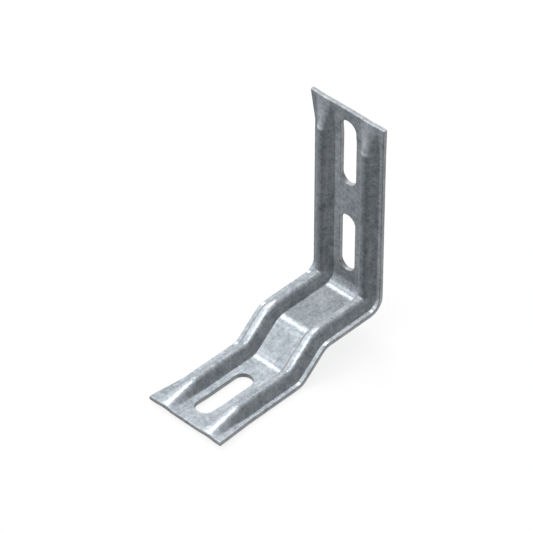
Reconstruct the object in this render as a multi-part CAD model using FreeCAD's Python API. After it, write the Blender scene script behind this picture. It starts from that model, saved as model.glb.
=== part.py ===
import FreeCAD, Part
import math
import os

# Window frame fixing bracket: one length of galvanised steel strip, pressed in
# one piece.  Seen from the side it is an L with a step in its foot: lower run
# with the free end, inclined step, upper run, rounded corner, upright.  Two ribs
# run along the inside of the L through every bend and run out before both ends,
# so the end edges are almost flat and a little wider than the ribbed strip.
#
# Frame: +Z up, X across the strip, the foot points to -Y.  The origin is the
# middle of the foot's slot in the plane of the lower run's underside.
# Millimetres.

# ---- sheet -------------------------------------------------------------------
SHEET_T = 2.0            # sheet thickness
EDGE_R = 0.35            # rounding of the long sheared edges

# ---- side view ---------------------------------------------------------------
FREE_END = 22.8          # slot middle to the free end of the foot
BACK_FACE = 74.2         # slot middle to the outer face of the upright
HEIGHT = 108.5           # underside of the lower run to the top edge
STEP_RISE = 12.0         # height of the step
STEP_RUN = 13.9          # horizontal length of the step, bend to bend
UPPER_RUN = 32.3         # upper bend of the step to the inner corner
R_STEP_LOW = 6.0         # inner radius of the lower bend of the step
R_STEP_HIGH = 6.0        # inner radius (underside) of the upper bend
R_CORNER = 5.0           # inner radius of the corner

# ---- cross-section of the ribbed strip ---------------------------------------
STRIP_W = 37.6           # width over the ribbed length
RIB_X = 12.15            # rib centre to the middle of the strip
RIB_HALF_BASE = 4.7      # half of the rib's base
RIB_H = 4.4              # rib height above the inner face
CREST_R = 2.9            # radius on the crest, inner face of the L
CREST_FLAT = 0.1         # half of the flat between the two arcs of the crest
FOOT_R = 0.8             # radius in the foot of the rib, inner face of the L

# ---- run-outs ----------------------------------------------------------------
RUNOUT_FOOT = 17.9       # length of the run-out at the free end
RUNOUT_TOP = 15.4        # length of the run-out at the top of the upright
END_W_FOOT = 40.4        # width of the end edge of the foot
END_W_TOP = 40.4         # width of the top end edge
END_LIFT_FOOT = 1.0      # the flat end lies this much to the inside of the L
END_LIFT_TOP = 1.3
END_BUMP_FOOT = 0.4      # what is left of the ribs at the end edge
END_BUMP_TOP = 0.2
NOSE_L = 2.3             # the rib first drops over a short rounded nose, this long
NOSE_DROP = 0.85         # and this deep
END_ROLL = 0.45          # the shear draws the end edge's inner rim down by this much
END_ROLL_OUT = 0.12      # and its outer rim up by this much

# ---- slots in the middle web -------------------------------------------------
SLOT_W = 8.5
SLOT_RIM_R = 0.25        # rounding of the punched rim, inner face of the L
FOOT_SLOT_L = 30.5       # slot in the lower run, middle at the origin
LOW_SLOT_L = 29.2        # lower slot of the upright
LOW_SLOT_Z = 38.4        # its middle
HIGH_SLOT_L = 33.1       # upper slot of the upright
HIGH_SLOT_Z = 85.9

V = FreeCAD.Vector


def corner_arc(q, d_in, d_out, r):
    """First, middle and last point of the arc of radius r that rounds corner q."""
    cosa = d_in[0] * d_out[0] + d_in[1] * d_out[1]
    turn = math.acos(max(-1.0, min(1.0, cosa)))
    k = r * math.tan(turn / 2.0)
    a = (q[0] - d_in[0] * k, q[1] - d_in[1] * k)
    b = (q[0] + d_out[0] * k, q[1] + d_out[1] * k)
    bis = (d_out[0] - d_in[0], d_out[1] - d_in[1])
    n = math.hypot(*bis)
    bis = (bis[0] / n, bis[1] / n)
    gap = r / math.cos(turn / 2.0) - r
    m = (q[0] + bis[0] * gap, q[1] + bis[1] * gap)
    return a, m, b


def rounded(points, radii):
    """Arcs and lines, in turn, of a closed outline with rounded corners."""
    n = len(points)
    dirs = []
    for i in range(n):
        p, q = points[i], points[(i + 1) % n]
        d = math.hypot(q[0] - p[0], q[1] - p[1])
        dirs.append(((q[0] - p[0]) / d, (q[1] - p[1]) / d))
    arcs = [corner_arc(points[i], dirs[i - 1], dirs[i], radii[i]) for i in range(n)]
    pieces = []
    for i in range(n):
        pieces.append(arcs[i])
        pieces.append((arcs[i][2], arcs[(i + 1) % n][0]))
    return pieces


def wall_angle(height, crest_r):
    """Slope of the rib's walls that joins its crest arc to its base.

    The arc's tangent length and the wall's run add up to the half of the base; that
    is a quadratic in the tangent of half the slope.
    """
    reach = RIB_HALF_BASE - CREST_FLAT
    k = crest_r - height / 2.0
    half = (reach - math.sqrt(reach ** 2 - 2.0 * height * k)) / (2.0 * k)
    return 2.0 * math.atan(half)


def section(width, lift, height, crest_r, foot_r, roll=0.0):
    """Closed outline of the strip's cross-section: flange, rib, web, rib, flange.

    x runs across the strip, n is the height above the inner face of flanges and
    web.  The outer face is the inner face moved out by the sheet thickness; roll
    is how far along the drawing of the two rims is, 0 to 1, at a sheared end.
    """
    t = SHEET_T
    w = width / 2.0
    half_base = RIB_HALF_BASE
    th = wall_angle(height, crest_r)
    half_top = half_base - height / math.tan(th)
    shift = t * math.tan(th / 2.0)     # how far the corners move on the outer face
    inner, radii_in = [(-w, 0.0)], [EDGE_R]
    outer, radii_out = [(-w, -t)], [EDGE_R]
    for c in (-RIB_X, RIB_X):
        inner += [(c - half_base, 0.0), (c - half_top, height),
                  (c + half_top, height), (c + half_base, 0.0)]
        radii_in += [foot_r, crest_r, crest_r, foot_r]
        outer += [(c - half_base + shift, -t), (c - half_top + shift, height - t),
                  (c + half_top - shift, height - t), (c + half_base - shift, -t)]
        radii_out += [foot_r + t, crest_r - t, crest_r - t, foot_r + t]
    inner.append((w, 0.0))
    radii_in.append(EDGE_R)
    outer.append((w, -t))
    radii_out.append(EDGE_R)
    inner = [(x, n - roll * END_ROLL) for x, n in inner]
    outer = [(x, n + roll * END_ROLL_OUT) for x, n in outer]
    points = [(x, n + lift) for x, n in inner + outer[::-1]]
    return rounded(points, radii_in + radii_out[::-1])


def wire(pieces, place):
    """The outline as a wire, its points set in space by place(x, n)."""
    edges = []
    for p in pieces:
        if len(p) == 2:
            edges.append(Part.makeLine(place(*p[0]), place(*p[1])))
        else:
            edges.append(Part.Arc(place(*p[0]), place(*p[1]), place(*p[2])).toShape())
    return Part.Wire(edges)


def placer(origin, d):
    """Section plane at origin, square to d; n points to the inside of the L."""
    ny, nz = -d[1], d[0]

    def place(x, n):
        return V(x, origin[0] + ny * n, origin[1] + nz * n)
    return place


RIBBED = section(STRIP_W, 0.0, RIB_H, CREST_R, FOOT_R)

# ---- path of the inner face in the Y-Z plane ---------------------------------
p_free = (-FREE_END, SHEET_T)
p_corner = (BACK_FACE - SHEET_T, SHEET_T + STEP_RISE)
p_high = (p_corner[0] - UPPER_RUN, p_corner[1])
p_low = (p_high[0] - STEP_RUN, SHEET_T)
p_top = (p_corner[0], HEIGHT)


def unit(a, b):
    d = math.hypot(b[0] - a[0], b[1] - a[1])
    return ((b[0] - a[0]) / d, (b[1] - a[1]) / d)


def along(p, d, s):
    return (p[0] + d[0] * s, p[1] + d[1] * s)


d_foot = unit(p_free, p_low)
d_step = unit(p_low, p_high)
d_upper = unit(p_high, p_corner)
d_up = unit(p_corner, p_top)
step_angle = math.atan2(STEP_RISE, STEP_RUN)

k_low = R_STEP_LOW * math.tan(step_angle / 2.0)
k_high = (R_STEP_HIGH + SHEET_T) * math.tan(step_angle / 2.0)

a0 = along(p_free, d_foot, RUNOUT_FOOT)
a1 = along(p_low, d_foot, -k_low)
b0 = along(p_low, d_step, k_low)
b1 = along(p_high, d_step, -k_high)
c0 = along(p_high, d_upper, k_high)
c1 = along(p_corner, d_upper, -R_CORNER)
e0 = along(p_corner, d_up, R_CORNER)
e1 = along(p_top, d_up, -RUNOUT_TOP)


def straight(a, b, d):
    face = Part.Face(wire(RIBBED, placer(a, d)))
    return face.extrude(V(0, b[0] - a[0], b[1] - a[1]))


def bend(a, d, radius, angle, inside):
    """The section turned about a bend's axis, which lies inside or outside the L."""
    s = radius if inside else -radius
    centre = V(0, a[0] - d[1] * s, a[1] + d[0] * s)
    face = Part.Face(wire(RIBBED, placer(a, d)))
    axis = V(1, 0, 0) if inside else V(-1, 0, 0)
    return face.revolve(centre, axis, math.degrees(angle))


def blend(a, b, u):
    return a + (b - a) * u


def crest_radius(h):
    """Crest radius of the sinking rib: from CREST_R towards one arc from foot to foot."""
    reach = RIB_HALF_BASE - CREST_FLAT
    one_arc = (reach ** 2 + h ** 2) / (2.0 * h)
    whole = CREST_R * 2.0 * RIB_H / (reach ** 2 + RIB_H ** 2)
    return one_arc * blend(whole, 0.85, min(1.0, (RIB_H - h) / 2.9))


def runout(start, go, d, length, end_w, end_lift, end_bump):
    """The ribs sink into the flat end, each along a rounded ridge.

    go is the way towards the end, d the direction of the path.  The foot lines of
    the rib stay where they are, so its walls lean over as the ridge comes down and
    its crest grows broader.  The ridge starts with a short, steeper nose.
    """
    #       share of the nose's length, share of its drop
    nose = [(0.00, 0.00), (0.12, 0.04), (0.24, 0.13), (0.37, 0.30), (0.50, 0.51),
            (0.64, 0.71), (0.80, 0.88), (1.00, 1.00)]
    stations = [(a * NOSE_L, RIB_H - b * NOSE_DROP, 0.0) for a, b in nose]
    low = RIB_H - NOSE_DROP
    for a in (0.15, 0.32, 0.50, 0.67, 0.84):
        stations.append((NOSE_L + a * (length - NOSE_L), blend(low, end_bump, a), 0.0))
    #       distance to the end edge, share of the roll
    slope = (low - end_bump) / (length - NOSE_L)
    stations += [(length - s, end_bump + s * slope, k)
                 for s, k in ((0.50, 0.0), (0.28, 0.10), (0.10, 0.42), (0.0, 1.0))]
    wires = []
    for at, h, roll in stations:
        u = at / length
        outline = section(blend(STRIP_W, end_w, u), end_lift * u, h,
                          crest_radius(h), blend(FOOT_R, 3.0, u), roll)
        wires.append(wire(outline, placer(along(start, go, at), d)))
    return Part.makeLoft(wires, True, True)


back_foot = (-d_foot[0], -d_foot[1])
solids = [
    runout(a0, back_foot, d_foot, RUNOUT_FOOT, END_W_FOOT, END_LIFT_FOOT,
           END_BUMP_FOOT),
    straight(a0, a1, d_foot),
    bend(a1, d_foot, R_STEP_LOW, step_angle, True),
    straight(b0, b1, d_step),
    bend(b1, d_step, R_STEP_HIGH + SHEET_T, step_angle, False),
    straight(c0, c1, d_upper),
    bend(c1, d_upper, R_CORNER, math.pi / 2.0, True),
    straight(e0, e1, d_up),
    runout(e1, d_up, d_up, RUNOUT_TOP, END_W_TOP, END_LIFT_TOP, END_BUMP_TOP),
]
strip = solids[0].multiFuse(solids[1:])
if strip.ShapeType != "Solid":
    strip = strip.Solids[0]


def slot(centre, run, normal, length):
    """Round-ended cutter: run is the slot's direction, normal goes through the sheet."""
    r = SLOT_W / 2.0
    half = length / 2.0 - r
    x = V(r, 0, 0)
    base = centre - normal * 6.0
    a, b = base - run * half - x, base + run * half - x
    c, e = base + run * half + x, base - run * half + x
    outline = Part.Wire([
        Part.makeLine(a, b),
        Part.Arc(b, base + run * (half + r), c).toShape(),
        Part.makeLine(c, e),
        Part.Arc(e, base - run * (half + r), a).toShape()])
    return Part.Face(outline).extrude(normal * 12.0)


sheet_mid = BACK_FACE - SHEET_T / 2.0
slots = [
    (V(0, 0, SHEET_T / 2.0), V(0, 1, 0), V(0, 0, 1), FOOT_SLOT_L),
    (V(0, sheet_mid, LOW_SLOT_Z), V(0, 0, 1), V(0, -1, 0), LOW_SLOT_L),
    (V(0, sheet_mid, HIGH_SLOT_Z), V(0, 0, 1), V(0, -1, 0), HIGH_SLOT_L),
]
bracket = strip.cut([slot(*s) for s in slots])
if bracket.ShapeType != "Solid":
    bracket = bracket.Solids[0]

# the rims on the inner face are rounded by the punch; near the ends of the strip
# that face lifts a little, so a rim edge is known by lying on the slot's outline
def off_outline(x, s, length):
    """Distance of a point, across and along the slot, from the slot's outline."""
    r = SLOT_W / 2.0
    over = max(abs(s) - (length / 2.0 - r), 0.0)
    return abs(math.hypot(x, over) - r)


rims = []
for edge in bracket.Edges:
    for centre, run, normal, length in slots:
        face_point = centre + normal * (SHEET_T / 2.0)
        rel = [p - face_point for p in edge.discretize(5)]
        if all(-0.01 < v.dot(normal) < 1.2 and off_outline(v.x, v.dot(run), length) < 1e-3
               for v in rel):
            rims.append(edge)
bracket = bracket.makeFillet(SLOT_RIM_R, rims)
if bracket.ShapeType != "Solid":
    bracket = bracket.Solids[0]

os.makedirs("parts", exist_ok=True)
bracket.exportStep("parts/bracket.step")
print("rims", len(rims), "valid", bracket.isValid(), "solids", len(bracket.Solids),
      "volume", round(bracket.Volume, 1), "faces", len(bracket.Faces))
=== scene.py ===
import math

import bpy
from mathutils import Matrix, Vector


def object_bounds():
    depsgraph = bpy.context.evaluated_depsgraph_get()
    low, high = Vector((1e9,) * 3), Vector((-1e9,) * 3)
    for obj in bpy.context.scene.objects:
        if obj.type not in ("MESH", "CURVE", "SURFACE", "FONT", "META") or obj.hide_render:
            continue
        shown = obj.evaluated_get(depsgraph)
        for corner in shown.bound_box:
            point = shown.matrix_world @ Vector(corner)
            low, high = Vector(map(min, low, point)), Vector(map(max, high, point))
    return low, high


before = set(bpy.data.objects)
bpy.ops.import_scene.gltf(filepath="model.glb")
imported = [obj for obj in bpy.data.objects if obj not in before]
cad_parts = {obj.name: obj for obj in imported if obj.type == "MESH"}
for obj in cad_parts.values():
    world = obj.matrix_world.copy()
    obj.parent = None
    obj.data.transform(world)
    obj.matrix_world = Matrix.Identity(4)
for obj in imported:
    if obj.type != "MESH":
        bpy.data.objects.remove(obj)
CAD_LO, CAD_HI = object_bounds()

scene = bpy.context.scene
scene.view_settings.view_transform = "Standard"
scene.view_settings.look = "None"
scene.view_settings.exposure = 0.0
scene.view_settings.gamma = 1.0

# ---------------------------------------------------------------- camera
CAM_AT = Vector((0.84532, -0.84988, 1.10173))
CAM_BACK = Vector((0.52673, -0.54497, 0.65236))
cam_data = bpy.data.cameras.new("camera")
cam_data.type = "PERSP"
cam_data.sensor_fit = "AUTO"
cam_data.sensor_width = 36.0
cam_data.lens = 4000.0 / 533.0 * 36.0
cam_data.shift_x = 0.0
cam_data.shift_y = 0.0
cam_data.clip_start = 0.05
cam_data.clip_end = 20.0
camera = bpy.data.objects.new("camera", cam_data)
scene.collection.objects.link(camera)
camera.rotation_mode = "QUATERNION"
camera.rotation_quaternion = (-CAM_BACK).to_track_quat("-Z", "Y")
camera.location = CAM_AT
scene.camera = camera

# ---------------------------------------------------------------- node helpers
def new_material(name):
    m = bpy.data.materials.new(name)
    m.use_nodes = True
    nt = m.node_tree
    nt.nodes.clear()
    out = nt.nodes.new("ShaderNodeOutputMaterial")
    shader = nt.nodes.new("ShaderNodeBsdfPrincipled")
    nt.links.new(shader.outputs["BSDF"], out.inputs["Surface"])
    return m, nt, shader


def mapped(nt, coords, scale):
    n = nt.nodes.new("ShaderNodeMapping")
    n.inputs["Scale"].default_value = scale
    nt.links.new(coords, n.inputs["Vector"])
    return n.outputs["Vector"]


def noise(nt, vector, scale, detail=2.0, rough=0.5, distortion=0.0):
    n = nt.nodes.new("ShaderNodeTexNoise")
    n.inputs["Scale"].default_value = scale
    n.inputs["Detail"].default_value = detail
    n.inputs["Roughness"].default_value = rough
    n.inputs["Distortion"].default_value = distortion
    nt.links.new(vector, n.inputs["Vector"])
    return n


def remap(nt, value, a, b, c, d):
    n = nt.nodes.new("ShaderNodeMapRange")
    n.inputs["From Min"].default_value = a
    n.inputs["From Max"].default_value = b
    n.inputs["To Min"].default_value = c
    n.inputs["To Max"].default_value = d
    nt.links.new(value, n.inputs["Value"])
    return n.outputs["Result"]


def maths(nt, op, a, b):
    n = nt.nodes.new("ShaderNodeMath")
    n.operation = op
    for i, v in enumerate((a, b)):
        if isinstance(v, (int, float)):
            n.inputs[i].default_value = v
        else:
            nt.links.new(v, n.inputs[i])
    return n.outputs[0]


# ---------------------------------------------------------------- material
def galvanised():
    m, nt, sh = new_material("galvanised_sheet")
    tc = nt.nodes.new("ShaderNodeTexCoord")
    obj = tc.outputs["Object"]

    # fine spangle: small zinc crystals, each with its own tone and shine
    warp = noise(nt, obj, 1400.0, 2.0, 0.6)
    mix = nt.nodes.new("ShaderNodeVectorMath")
    mix.operation = "MULTIPLY_ADD"
    mix.inputs[1].default_value = (0.0010, 0.0010, 0.0010)
    nt.links.new(warp.outputs["Color"], mix.inputs[0])
    nt.links.new(obj, mix.inputs[2])
    cells = nt.nodes.new("ShaderNodeTexVoronoi")
    cells.inputs["Scale"].default_value = 1150.0
    nt.links.new(mix.outputs[0], cells.inputs["Vector"])
    sep = nt.nodes.new("ShaderNodeSeparateColor")
    nt.links.new(cells.outputs["Color"], sep.inputs["Color"])
    grain = sep.outputs[0]
    grain_b = sep.outputs[1]

    mottle = noise(nt, obj, 620.0, 3.0, 0.65).outputs["Fac"]
    cloud = noise(nt, obj, 230.0, 3.0, 0.55).outputs["Fac"]
    broad = noise(nt, obj, 60.0, 2.0, 0.5).outputs["Fac"]
    # faint marks along the rolling direction, drawn out along Y and Z
    drawn = noise(nt, mapped(nt, obj, (1.0, 0.16, 0.16)), 900.0, 3.0, 0.6).outputs["Fac"]

    def added(*parts):
        total = None
        for value, weight in parts:
            term = maths(nt, "MULTIPLY", value, weight)
            total = term if total is None else maths(nt, "ADD", total, term)
        return total

    tone = added((grain, 0.16), (mottle, 0.55), (cloud, 0.45), (broad, 0.25), (drawn, 0.35))
    tone = remap(nt, tone, 0.70, 1.06, 0.0, 1.0)

    ramp = nt.nodes.new("ShaderNodeValToRGB")
    el = ramp.color_ramp.elements
    el[0].position = 0.0
    el[0].color = (0.380, 0.430, 0.485, 1.0)
    el[1].position = 1.0
    el[1].color = (0.715, 0.770, 0.825, 1.0)
    mid = el.new(0.5)
    mid.color = (0.555, 0.605, 0.655, 1.0)
    nt.links.new(tone, ramp.inputs["Fac"])

    # cut faces (long edges, slot walls, end edges) are bare, paler and rougher:
    # they are the faces square to the sheet, known by place and direction
    nrm = nt.nodes.new("ShaderNodeSeparateXYZ")
    nt.links.new(tc.outputs["Normal"], nrm.inputs["Vector"])
    pos = nt.nodes.new("ShaderNodeSeparateXYZ")
    nt.links.new(obj, pos.inputs["Vector"])
    across = remap(nt, maths(nt, "ABSOLUTE", nrm.outputs["X"], 0.0), 0.90, 0.97, 0.0, 1.0)
    up_leg = maths(nt, "GREATER_THAN", pos.outputs["Z"], 0.0235)
    foot_leg = maths(nt, "LESS_THAN", pos.outputs["Y"], 0.062)
    side_on_leg = remap(nt, maths(nt, "ABSOLUTE", nrm.outputs["Y"], 0.0), 0.18, 0.36, 1.0, 0.0)
    side_on_foot = remap(nt, maths(nt, "ABSOLUTE", nrm.outputs["Z"], 0.0), 0.18, 0.36, 1.0, 0.0)
    cut = maths(nt, "MAXIMUM", across,
                maths(nt, "MAXIMUM", maths(nt, "MULTIPLY", up_leg, side_on_leg),
                      maths(nt, "MULTIPLY", foot_leg, side_on_foot)))
    cut_tone = nt.nodes.new("ShaderNodeMix")
    cut_tone.data_type = "RGBA"
    nt.links.new(cut, cut_tone.inputs[0])
    # painted highlight: the base colour is brightened along the rib crests (the smoother, press-rubbed
    # finish there is in the roughness below)
    crest = maths(nt, "SUBTRACT", maths(nt, "ABSOLUTE", pos.outputs["X"], 0.0), 0.01215)
    crest = remap(nt, maths(nt, "ABSOLUTE", crest, 0.0), 0.0010, 0.0024, 1.0, 0.0)
    crest_painted_light = nt.nodes.new("ShaderNodeMix")
    crest_painted_light.data_type = "RGBA"
    crest_painted_light.blend_type = "MULTIPLY"
    nt.links.new(crest, crest_painted_light.inputs[0])
    nt.links.new(ramp.outputs["Color"], crest_painted_light.inputs[6])
    # the painted highlight is strongest on the slope of the step
    on_slope = maths(nt, "MULTIPLY",
                     remap(nt, pos.outputs["Y"], 0.0235, 0.0285, 0.0, 1.0),
                     remap(nt, pos.outputs["Y"], 0.0375, 0.0425, 1.0, 0.0))
    painted_light_gain = remap(nt, on_slope, 0.0, 1.0, 0.97, 1.48)
    # painted shade: on the upright leg the crests are darkened to 0.88 of this
    painted_light_gain = maths(nt, "MULTIPLY", painted_light_gain, remap(nt, up_leg, 0.0, 1.0, 1.0, 0.88))
    # painted highlight also where the ribs run out at the free end and at the top
    at_top = maths(nt, "MULTIPLY",
                   remap(nt, pos.outputs["Z"], 0.0928, 0.0942, 0.0, 0.6),
                   remap(nt, pos.outputs["Z"], 0.0965, 0.1035, 1.0, 0.0))
    on_end = maths(nt, "MAXIMUM",
                   remap(nt, pos.outputs["Y"], -0.0062, -0.0044, 1.0, 0.0), at_top)
    painted_light_gain = maths(nt, "ADD", painted_light_gain, maths(nt, "MULTIPLY", on_end, 0.28))
    nt.links.new(painted_light_gain, crest_painted_light.inputs[7])
    # painted shade: the web of the upper run, and the corner bend above it, is darkened where the
    # corner shelters it
    in_web = remap(nt, maths(nt, "ABSOLUTE", pos.outputs["X"], 0.0), 0.0070, 0.0092, 1.0, 0.0)
    in_run = maths(nt, "MULTIPLY",
                   remap(nt, pos.outputs["Y"], 0.0415, 0.0440, 0.0, 1.0),
                   maths(nt, "MULTIPLY",
                         remap(nt, pos.outputs["Y"], 0.0662, 0.0680, 1.0, 0.0),
                         remap(nt, pos.outputs["Z"], 0.0130, 0.0136, 0.0, 1.0)))
    in_bend = maths(nt, "MULTIPLY",
                    maths(nt, "GREATER_THAN", pos.outputs["Y"], 0.0660),
                    maths(nt, "MULTIPLY",
                          remap(nt, pos.outputs["Z"], 0.0148, 0.0160, 0.0, 1.0),
                          remap(nt, pos.outputs["Z"], 0.0235, 0.0290, 1.0, 0.0)))
    painted_shade_zone = maths(nt, "MAXIMUM", in_run, in_bend)
    painted_shade_gain = remap(nt, maths(nt, "MULTIPLY", in_web, painted_shade_zone), 0.0, 1.0, 1.0, 0.74)
    web_painted_shade = nt.nodes.new("ShaderNodeMix")
    web_painted_shade.data_type = "RGBA"
    web_painted_shade.blend_type = "MULTIPLY"
    web_painted_shade.inputs[0].default_value = 1.0
    nt.links.new(crest_painted_light.outputs[2], web_painted_shade.inputs[6])
    nt.links.new(painted_shade_gain, web_painted_shade.inputs[7])
    nt.links.new(web_painted_shade.outputs[2], cut_tone.inputs[6])
    cut_ramp = nt.nodes.new("ShaderNodeValToRGB")
    cut_ramp.color_ramp.elements[0].color = (0.46, 0.48, 0.50, 1.0)
    cut_ramp.color_ramp.elements[1].color = (0.70, 0.71, 0.73, 1.0)
    nt.links.new(tone, cut_ramp.inputs["Fac"])
    nt.links.new(cut_ramp.outputs["Color"], cut_tone.inputs[7])
    nt.links.new(cut_tone.outputs[2], sh.inputs["Base Color"])

    rough = added((grain_b, 0.30), (mottle, 0.80), (cloud, 0.30))
    rough = remap(nt, rough, 0.40, 1.00, 0.40, 0.48)
    # crests and bends are pressed smoother than the flats
    corner_y = remap(nt, pos.outputs["Y"], 0.0650, 0.0680, 0.0, 1.0)
    corner_z = remap(nt, pos.outputs["Z"], 0.0175, 0.0205, 1.0, 0.0)
    low_bend = remap(nt, maths(nt, "ABSOLUTE", maths(nt, "SUBTRACT", pos.outputs["Y"], 0.0258), 0.0),
                     0.0025, 0.0045, 1.0, 0.0)
    high_bend = remap(nt, maths(nt, "ABSOLUTE", maths(nt, "SUBTRACT", pos.outputs["Y"], 0.0400), 0.0),
                      0.0030, 0.0050, 1.0, 0.0)
    smooth = maths(nt, "MAXIMUM", crest, maths(nt, "MULTIPLY", corner_y, corner_z))
    smooth = maths(nt, "MAXIMUM", smooth, maths(nt, "MAXIMUM", low_bend, high_bend))
    rough = maths(nt, "SUBTRACT", rough, maths(nt, "MULTIPLY", smooth, 0.15))
    rough = maths(nt, "ADD", rough, maths(nt, "MULTIPLY", cut, 0.05))
    nt.links.new(rough, sh.inputs["Roughness"])

    nt.links.new(remap(nt, cut, 0.0, 1.0, 1.0, 0.97), sh.inputs["Metallic"])

    bump = nt.nodes.new("ShaderNodeBump")
    bump.inputs["Strength"].default_value = 0.035
    bump.inputs["Distance"].default_value = 0.00006
    nt.links.new(added((grain, 0.6), (mottle, 1.6), (cloud, 1.2), (drawn, 0.6)), bump.inputs["Height"])
    nt.links.new(bump.outputs["Normal"], sh.inputs["Normal"])
    return m


steel = galvanised()
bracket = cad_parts["bracket"]
for i in range(len(bracket.material_slots)):
    bracket.material_slots[i].material = steel
if not bracket.material_slots:
    bracket.data.materials.append(steel)
bracket.visible_glossy = False

# ---------------------------------------------------------------- floor
m, nt, sh = new_material("pale_floor")
sh.inputs["Base Color"].default_value = (0.30, 0.30, 0.30, 1.0)
sh.inputs["Roughness"].default_value = 0.9
sh.inputs["Emission Color"].default_value = (1.0, 1.0, 1.0, 1.0)
sh.inputs["Emission Strength"].default_value = 0.80
floor_mesh = bpy.data.meshes.new("floor")
R = 4.0
floor_mesh.from_pydata(
    [(-R, -R, 0), (R, -R, 0), (R, R, 0), (-R, R, 0)], [], [(0, 1, 2, 3)]
)
floor = bpy.data.objects.new("floor", floor_mesh)
floor.location = (0.0, 0.0, CAD_LO.z - 0.0004)
floor.visible_glossy = False
floor.data.materials.append(m)
scene.collection.objects.link(floor)

# ---------------------------------------------------------------- light
# a dome that is bright on the left of the bracket and dim on its right
world = bpy.data.worlds.new("studio")
scene.world = world
world.use_nodes = True
wt = world.node_tree
bg = wt.nodes["Background"]
wc = wt.nodes.new("ShaderNodeTexCoord")
dot = wt.nodes.new("ShaderNodeVectorMath")
dot.operation = "DOT_PRODUCT"
dot.inputs[1].default_value = Vector((-0.85, -0.10, 0.52)).normalized()
wt.links.new(wc.outputs["Generated"], dot.inputs[0])
fall = wt.nodes.new("ShaderNodeValToRGB")
fall.color_ramp.interpolation = "EASE"
#        cosine to the bright side, radiance
DOME = [(-1.0, 0.25), (-0.74, 0.27), (-0.56, 0.22), (-0.42, 0.22), (-0.22, 0.31),
        (-0.02, 0.41), (0.22, 0.47), (0.34, 0.58), (0.50, 0.66), (0.72, 0.84), (0.80, 0.86),
        (1.0, 0.86)]
ce = fall.color_ramp.elements
while len(ce) > 1:
    ce.remove(ce[-1])
ce[0].position = 0.0
ce[0].color = (DOME[0][1], DOME[0][1], DOME[0][1], 1.0)
for c, v in DOME[1:]:
    e = ce.new((c + 1.0) / 2.0)
    e.color = (v, v, v, 1.0)
span = remap(wt, dot.outputs["Value"], -1.0, 1.0, 0.0, 1.0)
wt.links.new(span, fall.inputs["Fac"])
# low down, below the edge of the table, everything is darker
height = wt.nodes.new("ShaderNodeSeparateXYZ")
wt.links.new(wc.outputs["Generated"], height.inputs["Vector"])
low = wt.nodes.new("ShaderNodeMapRange")
low.interpolation_type = "SMOOTHSTEP"
low.inputs["From Min"].default_value = -0.62
low.inputs["From Max"].default_value = -0.42
low.inputs["To Min"].default_value = 0.60
low.inputs["To Max"].default_value = 1.0
wt.links.new(height.outputs["Z"], low.inputs["Value"])
dome = maths(wt, "MULTIPLY", fall.outputs["Color"], low.outputs["Result"])


def softbox(centre, half_w, half_h, edge, radiance):
    """A soft-edged oblong light on the dome; half_w and half_h are in degrees.

    Its width runs along the horizontal; edge is the share of its half sizes that
    the fall to nothing takes.
    """
    c = Vector(centre).normalized()
    side = Vector((0.0, 0.0, 1.0)).cross(c).normalized()
    top = c.cross(side).normalized()

    def part(axis, half):
        n = wt.nodes.new("ShaderNodeVectorMath")
        n.operation = "DOT_PRODUCT"
        n.inputs[1].default_value = axis
        wt.links.new(wc.outputs["Generated"], n.inputs[0])
        scaled = maths(wt, "DIVIDE", n.outputs["Value"], math.sin(math.radians(half)))
        return maths(wt, "POWER", maths(wt, "ABSOLUTE", scaled, 0.0), 3.0)

    far = maths(wt, "POWER", maths(wt, "ADD", part(side, half_w), part(top, half_h)), 1.0 / 3.0)
    n = wt.nodes.new("ShaderNodeMapRange")
    n.interpolation_type = "SMOOTHSTEP"
    n.inputs["From Min"].default_value = 1.0 - edge
    n.inputs["From Max"].default_value = 1.0 + edge
    n.inputs["To Min"].default_value = radiance
    n.inputs["To Max"].default_value = 0.0
    wt.links.new(far, n.inputs["Value"])
    facing = wt.nodes.new("ShaderNodeVectorMath")
    facing.operation = "DOT_PRODUCT"
    facing.inputs[1].default_value = c
    wt.links.new(wc.outputs["Generated"], facing.inputs[0])
    front = maths(wt, "GREATER_THAN", facing.outputs["Value"], 0.0)
    return maths(wt, "MULTIPLY", n.outputs["Result"], front)


LIGHTS = [
    # centre, half width, half height, edge, radiance
    ((-0.38, 0.22, 0.86), 9.0, 7.0, 0.45, 3.6),        # key, over the left shoulder
    ((-0.50, 0.05, 0.86), 8.0, 9.0, 0.60, 0.7),        # its spill
    ((-0.14, -0.58, 0.80), 21.0, 8.0, 0.40, 1.2),      # front
    ((0.10, -0.80, 0.50), 27.0, 13.0, 0.40, -0.28),    # dark card under the front light
    ((0.527, 0.545, -0.652), 24.0, 22.0, 0.50, 0.33),  # low bounce from behind
]
total = dome
for light in LIGHTS:
    total = maths(wt, "ADD", total, softbox(*light))
wt.links.new(total, bg.inputs["Strength"])
bg.inputs["Color"].default_value = (1.0, 1.0, 1.0, 1.0)
